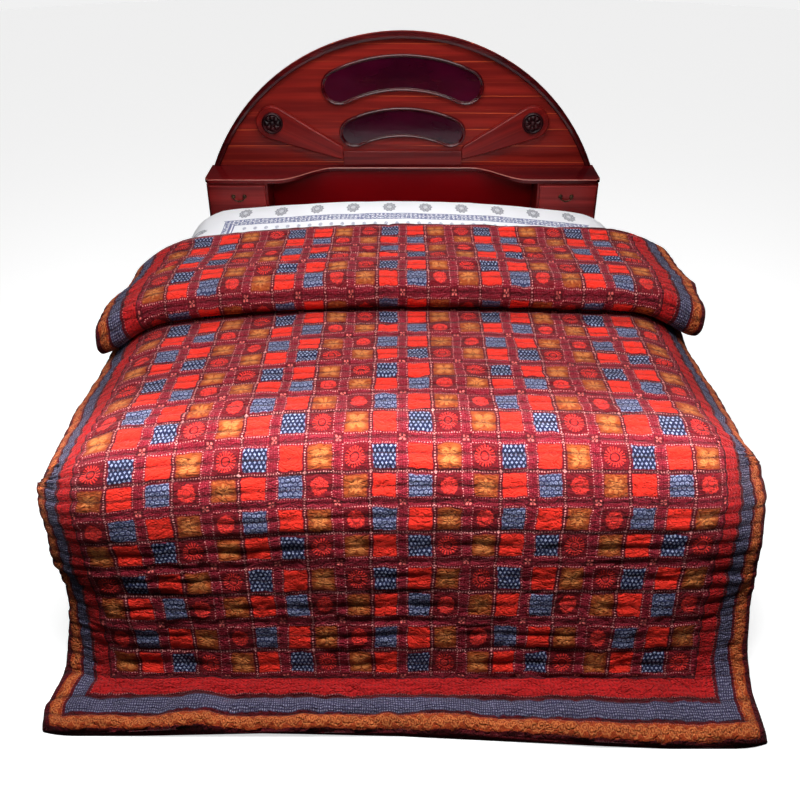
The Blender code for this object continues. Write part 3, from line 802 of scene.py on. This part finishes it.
def comforter():
    edge = np.array([1.099, 1.106, 1.110])
    top_columns = np.concatenate([-edge[::-1], np.linspace(-1.09, 1.09, 155), edge])
    half = np.array([0.0, 0.3, 0.6, 0.80, 0.88, 0.95, 1.0, 1.03, 1.06, 1.08, 1.094, 1.104, 1.110])
    under_columns = np.concatenate([-half[::-1], half[1:]])
    rows = np.concatenate([[0.0, 0.004], np.linspace(0, LENGTH, 64 * 8 + 1)[1:-1], [LENGTH - 0.004, LENGTH]])
    s, t = np.meshgrid(top_columns, rows)
    top, phase = printed_face(s, t)
    su, tu = np.meshgrid(under_columns, rows)
    under = underside(su, tu)

    # Rounded side edges between the two faces
    rims = []
    for column, side in ((0, -1), (-1, 1)):
        edge = side * HALF_WIDTH + 0 * rows
        out = cloth_points(edge, rows) - cloth_points(edge - side * 0.01, rows)
        out = out / np.linalg.norm(out, axis=-1, keepdims=True)
        rims.append((top[:, column] + under[:, column]) * 0.5 + out * RIM_BULGE)
    points = np.concatenate([top.reshape(-1, 3), under.reshape(-1, 3)] + rims)
    top_at = np.arange(s.size).reshape(s.shape)
    under_at = s.size + np.arange(su.size).reshape(su.shape)
    rim_at = s.size + su.size + np.arange(2 * len(rows)).reshape(2, -1)

    faces = grid_faces(top_at, False)
    for rim, column, flip in ((rim_at[0], 0, False), (rim_at[1], -1, True)):
        faces += grid_faces(np.stack((under_at[:, column], rim, top_at[:, column]), 1), flip)
    rim_faces = len(faces)
    faces += grid_faces(under_at, True)
    hem_faces = len(faces)
    for row, flip in ((0, False), (-1, True)):
        left, right = rim_at[:, row].tolist()
        for face in strip_between([left] + top_at[row].tolist() + [right],
                                  [left] + under_at[row].tolist() + [right]):
            face = tuple(dict.fromkeys(face))
            if len(face) == 3:
                faces.append(face if flip else tuple(reversed(face)))
    kinds = [0] * rim_faces + [1] * (hem_faces - rim_faces) + [0] * (len(faces) - hem_faces)

    def pairs(across, ahead):
        return np.stack((across, ahead), -1).reshape(-1, 2)

    rim_uv = [pairs(MIDDLE_COLUMN + side * HALF_WIDTH / BLOCK + 0 * rows, border_stretched(rows / BLOCK))
              for side in (-1, 1)]
    uv = np.concatenate([pairs(s / BLOCK + MIDDLE_COLUMN, border_stretched(t / BLOCK)),
                         pairs(su / BLOCK + MIDDLE_COLUMN, tu / BLOCK)] + rim_uv)
    stitch = np.concatenate([pairs(s / CHANNEL, phase), pairs(su / CHANNEL, tu / CHANNEL)]
                            + [pairs(rows, rows / CHANNEL)] * 2)
    made = add_mesh("quilted_comforter", points, faces, [block_print(), backing()],
                    (("print", uv), ("stitch", stitch)), kinds)
    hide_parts("comforter")
    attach(made, "root")


# The mattress and its cover

def mattress_cover():
    shader = Shader("white_printed_cotton", 0.7, Sheen_Weight=0.2, Specular_IOR_Level=0.3)
    x, y = shader.plane("cloth")
    plane = shader.join(x, y)
    speck = shader.noise(plane, 260.0, 2.0)
    wobble = shader.noise(plane, 9.0, 2.0)
    from_side, from_head = abs(x - BAND_MIDDLE_X) - BAND_SIDE, y - BAND_HEAD
    out = either(from_side, from_head) + (wobble - 0.5) * 0.008
    side = from_side.over(0.0) * from_side.over(from_head)
    run = x + side * (y - x)
    ground = shader.mix(shader.noise(plane, 3.0, 3.0), (238, 239, 246), (250, 250, 252))

    # Medallions of three printed rings in the outer strip
    place = (run / MEDAL_PITCH + MEDAL_PHASE).cell() * MEDAL_PITCH
    away = (out - MEDAL_LINE) / (2.0 - side)
    ring = hypot(place, away)
    petals = 0.024 + 0.0025 * (away.math("ARCTAN2", place) * 10.0).cosine()
    outline = (ring - petals).band(0.0, 0.0048, 0.0020)
    inner = ring.band(0.0145, 0.0040, 0.0020)
    hatch = ((place + away) * 800.0).sine() * ((place - away) * 800.0).sine()
    mitre = (abs(run - place - BAND_MIDDLE_X) - side * 0.875).under(0.86)
    medal = either(outline, inner, hatch.over(0.02) * ring.under(0.025)) * ring.under(0.05) * mitre
    ground = shader.mix(medal * speck.ramp(0.25, 0.55) * 0.85, ground, (84, 88, 106))

    # Dense sprigged band, with buds inside it and a piped line at the sheet's edge
    half = 0.029 - side * 0.009
    inside = (abs(out) / half).fall(0.92, 1.04)
    sprigs = shader.mottle(run * 120.0, out * 90.0, roughness=0.6).ramp(0.42, 0.58)
    bits = hypot((run * 52.0).cell(), (out * 60.0).cell()).fall(0.24, 0.42)
    rails = (abs(out) / half).band(0.95, 0.06, 0.03)
    filled = inside * either(bits * 0.9, sprigs * 0.85)
    ground = shader.mix(either(filled, rails * 0.9), ground, (40, 58, 128))
    bud_x = (x / BUD_PITCH_X).cell() * BUD_PITCH_X
    bud_y = ((from_head + 0.070) / BUD_PITCH_Y + 0.5).cell() * BUD_PITCH_Y
    bud = hypot(bud_x / 0.7, bud_y / 1.3).fall(0.009, 0.015) * out.under(BUD_LINE)
    ground = shader.mix(bud * 0.8 * speck.ramp(0.3, 0.6), ground, (92, 102, 144))
    ground = shader.mix(abs(x).band(PIPING, 0.0035, 0.0015) * 0.75, ground, (84, 88, 112))
    weave = (x * 5200.0).sine() * (y * 5200.0).sine()
    relief = shader.mottle(x * 9.0, y * 14.0, detail=4.0) * 1.2 + weave * 0.05
    return shader.finish(shader.shade(ground, 0.96 + 0.06 * speck), 0.7, relief, 0.003)


def mattress():
    """A crowned pad under a fitted cover that is pulled over its rounded edges."""
    bottom, depth = PAD_BOTTOM, PAD_TOP - PAD_BOTTOM
    ends = [1 - cos(a) for a in np.linspace(0.0, pi / 2, 15)]
    foot_end, head_start = PAD_FOOT + PAD_FOOT_EDGE, PAD_HEAD - PAD_CORNER
    places = [PAD_FOOT + PAD_FOOT_EDGE * a for a in ends]
    places += list(np.linspace(foot_end, head_start, 100)[1:-1])
    places += [PAD_HEAD - PAD_CORNER * a for a in reversed(ends)]
    rings, coords = [], []
    for y in places:
        foot = max(1 - (y - PAD_FOOT) / PAD_FOOT_EDGE, 0)
        head = max(1 - (PAD_HEAD - y) / PAD_CORNER, 0)
        foot_drawn = PAD_FOOT_EDGE * (1 - sqrt(max(1 - foot ** 2, 0)))
        head_drawn = 1 - sqrt(max(1 - head ** 2, 0))
        half_width = PAD_HALF_WIDTH - (foot_drawn + PAD_CORNER * head_drawn * 0.6)
        lower = foot_drawn + PAD_EDGE * head_drawn * 0.5
        down = depth - lower - PAD_EDGE

        # Half a ring from the bottom to the middle of the top: across, height, place on the flat cover
        edge, flat_top = PAD_EDGE, half_width - PAD_EDGE
        ring = [(half_width * 0.861875, bottom, PAD_HALF_WIDTH + down + 0.1125),
                (half_width, bottom + 0.012, PAD_HALF_WIDTH + down)]
        ring += [(half_width, bottom + 0.02 + (down - 0.02) * a, PAD_HALF_WIDTH + down * (1 - a))
                 for a in np.linspace(0.1, 1, 10)[:-1]]
        ring += [(half_width - edge * (1 - cos(a)), bottom + down + edge * sin(a),
                  PAD_HALF_WIDTH - edge * a * 2 / pi) for a in np.linspace(0, pi / 2, 9)]
        ring += [(flat_top * a, bottom + depth - lower, flat_top * a) for a in np.linspace(1, 0, 27)[1:]]
        ring += [(-x, z, -flat) for x, z, flat in reversed(ring[:-1])]
        rings.append([(x, y, z) for x, z, flat in ring])
        coords.append([(flat, y) for x, z, flat in ring])
    points, coords = np.array(rings), np.array(coords)
    x, y, z = points[..., 0], points[..., 1], points[..., 2]

    # Raised and bowed at the head, like the cloth that lies on it
    across = np.minimum(np.abs(x) / (COLUMNS / 2 * BLOCK), 1.1) ** 2
    rise = HEAD_RISE * ease((y - HEAD_RISE_START) / HEAD_RISE_LENGTH)
    lift = rise * (1 - np.where(x < 0, BOWED_LEFT, BOWED_RIGHT) * across) - CROWN * across
    z = z + lift * ease((z - bottom - 0.02) / 0.14)

    # The sheet hangs a little away from the pad's sides where it comes out from under the comforter
    spread = ease((y - 1.30) / 0.12) * ease((np.abs(x) - 0.45) / 0.45)
    out = np.where(x < 0, SHEET_LEFT, SHEET_RIGHT) * spread
    x = points[..., 0] = x + out
    coords[..., 0] += out

    # Slack of the sheet: long soft pulls towards the head corners, and shallow ripples
    slack = 0.0025 * noise(31, x / 0.16 + y / 0.4, y / 0.22)
    slack += 0.0012 * noise(32, (x + y) / 0.06, (x - y) / 0.14)
    upper = ease((z - bottom - 0.13) / 0.06)
    shown = ease((y - 1.24) / 0.06)
    points[..., 2] = z + (slack - 0.0012) * upper * shown - 0.001 * upper
    sides = (1 - upper) * ease((z - bottom - 0.03) / 0.05)
    points[..., 0] = x + np.sign(x) * (0.0015 * noise(33, y / 0.05, z / 0.3) - 0.0015) * sides
    points[..., 1] += SLIDE

    rows, count = points.shape[:2]
    faces = tube_faces(rows, count)
    faces += [tuple(reversed(range(count))), tuple(range((rows - 1) * count, rows * count))]
    made = finished("covered_mattress", points.reshape(-1, 3), faces, mattress_cover(), "mattress",
                    (("cloth", coords.reshape(-1, 2)),))


# Wood, panels and metal

def wood(name, dark, light, streak=None, lines=0.0, tilt=0.0, gloss=0.30, painted_highlight_top=None, polish=0.06):
    """Lacquered veneer, with fine lines of the streak's colour; tilt turns the grain in the board's plane."""
    shader = Shader(name, gloss, Coat_Weight=polish, Coat_Roughness=0.08, Specular_IOR_Level=0.2)
    x, y, z = shader.space()
    run = x * cos(tilt) + z * sin(tilt)
    across = z * cos(tilt) - x * sin(tilt)
    warp = shader.mottle(run * 1.4, y * 2.0, across * 4.0)
    across = across + (warp - 0.5) * 0.020
    fine = shader.mottle(run * 5.0, y * 40.0, across * 330.0, detail=3.0, roughness=0.6)
    broad = shader.mottle(run * 1.2, y * 6.0, across * 34.0, detail=3.0)
    colour = shader.mix(broad.ramp(0.30, 0.72), dark, light)
    colour = shader.shade(colour, 0.78 + 0.44 * fine)
    if streak:
        cut = abs((across / VENEER_PITCH).cell())
        line = cut.fall(0.006, 0.035) * warp.ramp(0.30, 0.55)
        second_cut = abs((across / 0.031 + 0.3).cell())
        second = second_cut.fall(0.01, 0.06) * fine.ramp(0.45, 0.7) * 0.35
        colour = shader.mix(either(line, second) * lines, colour, streak)
    if painted_highlight_top:
        # Painted highlight: a thin pale line round the board just below the given top height
        painted_highlight = (z - (painted_highlight_top - 0.0030)).band(0.0, 0.0018, 0.0008) * (0.5 + 0.5 * warp)
        colour = shader.mix(painted_highlight * 0.8, colour, (206, 132, 120))
    return shader.finish(colour, gloss - 0.05 + 0.10 * fine, fine * 0.5 + broad * 0.4, 0.0004)


def gloss_inset():
    """Deep plum laminate under clear gloss, with soft streaks."""
    shader = Shader("gloss_inset", 0.14, Coat_Weight=0.3, Coat_Roughness=0.05, Specular_IOR_Level=0.3)
    x, y, z = shader.space()
    cloud = shader.mottle(x * 3.0, y, z * 7.0, detail=3.0)
    scuff = shader.mottle(x * 14.0, y, z * 70.0 + x * 24.0, detail=3.0)
    colour = shader.mix(cloud.ramp(0.3, 0.75), (38, 0, 16), (66, 2, 30))
    return shader.finish(colour, 0.08 + 0.16 * scuff, scuff * 0.4 + cloud * 0.6, 0.0005)


def red_panel():
    shader = Shader("red_panel", 0.28, Specular_IOR_Level=0.15)
    x, y, z = shader.space()
    cloud = shader.mottle(x * 2.0, y, z * 5.0, detail=3.0)
    pores = shader.mottle(x * 9.0, y * 30.0, z * 300.0)
    colour = shader.shade(shader.mix(cloud, (98, 0, 5), (132, 3, 10)), 0.9 + 0.2 * pores)
    return shader.finish(colour, 0.25 + 0.12 * pores, pores, 0.0003)


def bronze():
    shader = Shader("bronze", 0.35, Metallic=0.9)
    x, y, z = shader.space()
    tarnish = shader.noise(shader.join(x, y, z), 120.0, 4.0)
    colour = shader.mix(tarnish.ramp(0.35, 0.7), (34, 24, 20), (96, 70, 50))
    return shader.finish(colour, 0.25 + 0.35 * tarnish, tarnish, 0.0004)


def dress(material, *nodes):
    """Gives carried-over nodes their finished material."""
    for node in nodes:
        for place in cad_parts[node].material_slots:
            place.material = material


def rosette(side_name, material):
    """Turned and carved boss: eight petals round a button, inside a beaded rim."""
    low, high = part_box("rosette_" + side_name)
    centre_x, centre_z = (low.x + high.x) / 2, (low.z + high.z) / 2
    radius, back, reach = (high.x - low.x) / 2, high.y, high.y - low.y
    radii = np.concatenate([np.linspace(0.0, 0.97, 26)[1:], [0.99, 1.0]]) * radius
    turns = circle(96)
    r, a = np.meshgrid(radii, turns, indexing="ij")
    part = r / radius
    button = np.where(part < 0.22, np.sqrt(np.clip(1 - (part / 0.22) ** 2, 0, 1)) * 0.35 + 0.62, 0.0)
    inside = ease((part - 0.24) / 0.05) * ease((0.74 - part) / 0.05)
    petal = np.abs(np.cos(4 * a)) ** 0.6 * np.sin(np.clip((part - 0.24) / 0.50, 0, 1) * pi) ** 0.7
    rim = 0.62 * np.exp(-((part - 0.86) / 0.085) ** 2) * (0.86 + 0.14 * np.cos(32 * a))
    height = np.maximum(button, 0.22 + np.maximum(0.50 * petal * inside, rim)) * ease((1.02 - part) / 0.05)
    front = np.stack((centre_x + r * np.cos(a), back - height * reach, centre_z + r * np.sin(a)), -1)
    count = len(turns)
    points = [(centre_x, back - 0.97 * reach, centre_z)] + front.reshape(-1, 3).tolist()
    points += [(centre_x + radius * cos(b), back, centre_z + radius * sin(b)) for b in turns]
    faces = [(0, 1 + (i + 1) % count, 1 + i) for i in range(count)]
    faces += tube_faces(len(radii) + 1, count, first=1)
    faces.append(tuple(range(len(points) - count, len(points))))
    finished("carved_rosette_" + side_name, points, faces, material, "rosette_" + side_name,
             smooth=60)


def moulding(path, section):
    """Section (out, forward) carried round a closed path of (x, z) points on the headboard's face."""
    points = []
    for i, at in enumerate(path):
        tangent = (Vector(path[(i + 1) % len(path)]) - Vector(path[i - 1])).normalized()
        points += [(at[0] - tangent.y * a, PANEL_FACE - b, at[1] + tangent.x * a) for a, b in section]
    return points, tube_faces(len(path), len(section), closed=True)


def kidney(middle, sagitta, reach, half_thickness):
    """Outline of a bent band with round ends; middle is the height of its centre line at x = 0."""
    radius = (reach ** 2 + sagitta ** 2) / (2 * sagitta)
    centre = middle - radius
    end = atan2(reach, radius - sagitta)
    outline = []
    for side in (1, -1):
        far = radius + side * half_thickness
        outline += [(far * sin(a), centre + far * cos(a)) for a in np.linspace(-side * end, side * end, 65)]
        x, z = side * radius * sin(end), centre + radius * cos(end)
        start = pi / 2 - end if side > 0 else -pi / 2 + end
        outline += [(x + half_thickness * cos(a), z + half_thickness * sin(a))
                    for a in (start - pi * k / 24 for k in range(1, 24))]
    return outline


def bead(name, middle, sagitta, reach, half_thickness, node, material):
    """Round moulding about a bent panel, with a small step on its inner side."""
    path = kidney(middle, sagitta, reach, half_thickness + 0.0087)
    section = [(0.0083, 0.0)]
    section += [(0.0015 + 0.0068 * cos(a), 0.0030 + 0.0110 * sin(a)) for a in np.linspace(0, pi, 11)]
    section += [(-0.0060, 0.0044), (-0.0075, 0.0040), (-0.0083, 0.0028), (-0.0083, 0.0)]
    points, faces = moulding(path, section)
    finished(name, points, faces, material, node)


def bail_pull(side_name, material):
    """Two turned bosses with a bail that swells at the middle."""
    low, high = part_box("handle_" + side_name)
    centre, back, top = (low.x + high.x) / 2, high.y, high.z
    reach, height, sag = 0.027, top - 0.0035, 0.0175
    points, faces = [], []

    def add_tube(rings):
        """A tube of equal rings with flat ends."""
        count, start = len(rings[0]), len(points)
        points.extend(point for ring in rings for point in ring)
        faces.extend([tuple(range(start, start + count)), tuple(range(len(points) - count, len(points)))])
        faces.extend(tube_faces(len(rings), count, first=start))

    profile = ((0.0100, 0.0), (0.0105, 0.0015), (0.0095, 0.0030), (0.0060, 0.0036), (0.0052, 0.0060),
               (0.0066, 0.0085), (0.0072, 0.0110), (0.0060, 0.0140), (0.0032, 0.0158), (0.0008, 0.0162))
    turns = circle(24)
    for side in (-1, 1):
        add_tube([[(centre + side * reach + r * cos(a), back - d, height + r * sin(a)) for a in turns]
                  for r, d in profile])
    turns = circle(12)
    rings = []
    for angle in np.linspace(pi, 2 * pi, 33):
        rod = 0.0024 + 0.0016 * (-sin(angle)) ** 4 - 0.0006 * (-sin(angle)) ** 40
        at = Vector((centre + reach * cos(angle), back - 0.0125, height - 0.002 + sag * sin(angle)))
        turn = Vector((-sin(angle) * reach, 0, sag * cos(angle))).normalized().to_track_quat("Z", "Y")
        rings.append([tuple(at + turn @ Vector((rod * cos(a), rod * sin(a), 0))) for a in turns])
    add_tube(rings)
    finished("bail_pull_" + side_name, points, faces, material, "handle_" + side_name)


def dress_wood():
    panel = wood("mahogany_panel", (108, 21, 18), (146, 35, 27), (218, 92, 50), 0.9)
    plain = wood("mahogany_board", (80, 10, 12), (122, 24, 22))
    front = wood("drawer_veneer", (102, 20, 20), (142, 36, 34))
    dark = wood("dark_moulding", (46, 4, 8), (84, 12, 14), gloss=0.18, polish=0.3)
    carved = wood("carved_wood", (26, 8, 12), (58, 18, 22), gloss=0.32)
    # The shelf gets a painted highlight just below its top
    shelf = wood("shelf_board", (60, 6, 10), (104, 16, 18), gloss=0.18, painted_highlight_top=SHELF_TOP)
    gloss = wood("gloss_moulding", (52, 4, 10), (86, 12, 18), gloss=0.12, polish=1.0)
    dress(panel, "headboard_panel")
    dress(plain, "centre_block", "bed_base", "cabinet_left", "cabinet_right")
    dress(dark, "headboard_rim")
    dress(shelf, "shelf")
    bead("bead_upper", 1.263, 0.066, 0.305, 0.069, "inset_upper_frame", gloss)
    bead("bead_lower", 1.030, 0.050, 0.238, 0.056, "inset_lower_frame", gloss)
    dress(front, "drawer_left", "drawer_right")
    for name, tilt in (("wing_left", -0.42), ("wing_right", 0.42)):
        dress(wood(name + "_veneer", (98, 13, 13), (132, 25, 21), (180, 60, 38), 0.2, tilt), name)
    dress(gloss_inset(), "inset_upper_panel", "inset_lower_panel")
    dress(red_panel(), "centre_panel")
    metal = bronze()
    bail_pull("left", metal)
    bail_pull("right", metal)
    rosette("left", carved)
    rosette("right", carved)


# Floor, light and camera

def add_stage(name, points, faces, material):
    """A piece of the studio, kept out of the bounced light."""
    made = add_mesh(name, points, faces, [material])
    made.visible_diffuse = False
    made.visible_glossy = False
    return made


def floor_and_backdrop():
    shader = Shader("pale_floor", 0.9, Specular_IOR_Level=0.1, Emission_Color=(1, 1, 1, 1),
                    Emission_Strength=FLOOR_GLOW)
    x, y, z = shader.space()
    mottled = shader.noise(shader.join(x, y), 0.6, 2.0)
    shader.set(Base_Color=shader.mix(mottled, (228.54, 228.54, 228.54), (231.12, 231.12, 231.12)))
    corners = [(x, y, -0.0005) for x, y in ((-40, -40), (40, -40), (40, 40), (-40, 40))]
    add_stage("floor", corners, [(0, 1, 2, 3)], shader.material)

    # Round, a long way off, curved up from the floor and seen only by the camera
    shader = Shader("pale_backdrop", 0.9, Specular_IOR_Level=0.0, Base_Color=(0, 0, 0, 1),
                    Emission_Color=(1, 1, 1, 1), Emission_Strength=BACKDROP_GLOW)
    profile = [(13 + 3 * sin(a), 3 - 3 * cos(a)) for a in np.linspace(0, pi / 2, 13)] + [(16, 16)]
    turns = circle(64)
    points = [(r * cos(a), r * sin(a), z) for r, z in profile for a in turns]
    faces = tube_faces(len(profile), len(turns))
    add_stage("backdrop", points, faces, shader.material).visible_shadow = False


def studio():
    world = bpy.data.worlds.new("studio")
    world.use_nodes = True
    tree = world.node_tree
    to_side, to_back, up = parts(tree, tree.nodes.new("ShaderNodeTexCoord").outputs["Generated"])
    around = either(abs(to_side), to_back).ramp(0.5, 1.0)
    strength = SKY_LOW + up.ramp(-0.1, 0.9) * SKY_OVERHEAD + around * SKY_AROUND
    tree.links.new(strength.socket, tree.nodes["Background"].inputs["Strength"])
    bpy.context.scene.world = world

    def light(name, kind, place, target, energy):
        data = bpy.data.lights.new(name, kind)
        data.energy = energy
        made = bpy.data.objects.new(name, data)
        made.location = place
        made.rotation_euler = (Vector(target) - Vector(place)).to_track_quat("-Z", "Y").to_euler()
        made.visible_camera = False
        bpy.context.scene.collection.objects.link(made)
        return data

    light("sky", "SUN", (-0.3, 0.2, 4.0), (0, 0, 0), SUN).angle = radians(26)
    for name, (place, target, watts, size, spread) in LAMPS.items():
        lamp = light(name, "AREA", place, target, watts)
        lamp.shape = "RECTANGLE"
        lamp.size, lamp.size_y = size
        lamp.spread = radians(spread)

    bpy.context.scene.view_settings.view_transform = "Standard"
    bpy.context.scene.view_settings.look = "None"

    data = bpy.data.cameras.new("camera")
    data.lens = FOCAL * SENSOR / PICTURE
    data.sensor_width = SENSOR
    data.shift_x = SHIFT / PICTURE
    camera = bpy.data.objects.new("camera", data)
    camera.location = CAMERA_PLACE
    camera.rotation_euler = (pi / 2 - CAMERA_PITCH, 0, 0)
    bpy.context.scene.collection.objects.link(camera)
    bpy.context.scene.camera = camera


floor_and_backdrop()
studio()
comforter()
mattress()
dress_wood()
